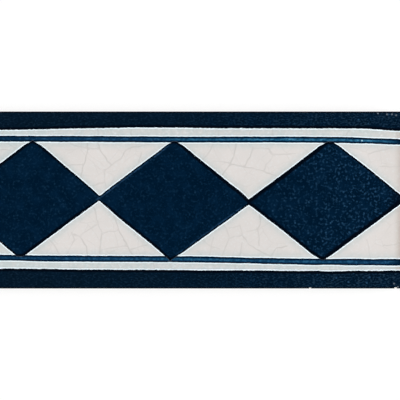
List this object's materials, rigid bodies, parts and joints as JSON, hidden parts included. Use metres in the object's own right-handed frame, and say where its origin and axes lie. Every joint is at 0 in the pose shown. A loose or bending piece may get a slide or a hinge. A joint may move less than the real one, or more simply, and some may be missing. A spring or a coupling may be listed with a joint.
{
  "type": "border tile",
  "caption": "Oblong glazed ceramic border tile with raised blue diamonds between ruled lines and edge bands on a crackled white ground, laid as a decorative strip in tiling.",
  "frame": {"origin": "middle of the back face, the plane that the tile is bedded on", "axes": "+X along the border, +Y across the border, +Z out of the glazed face"},
  "size_m": [0.198, 0.078, 0.009],
  "materials": {
    "glazed_tile": "gloss white crackle glaze with dark blue enamel bands, lines and diamonds; bare biscuit on the back"
  },
  "bodies": {
    "root": {"border_tile": "glazed_tile"}
  },
  "joints": []
}
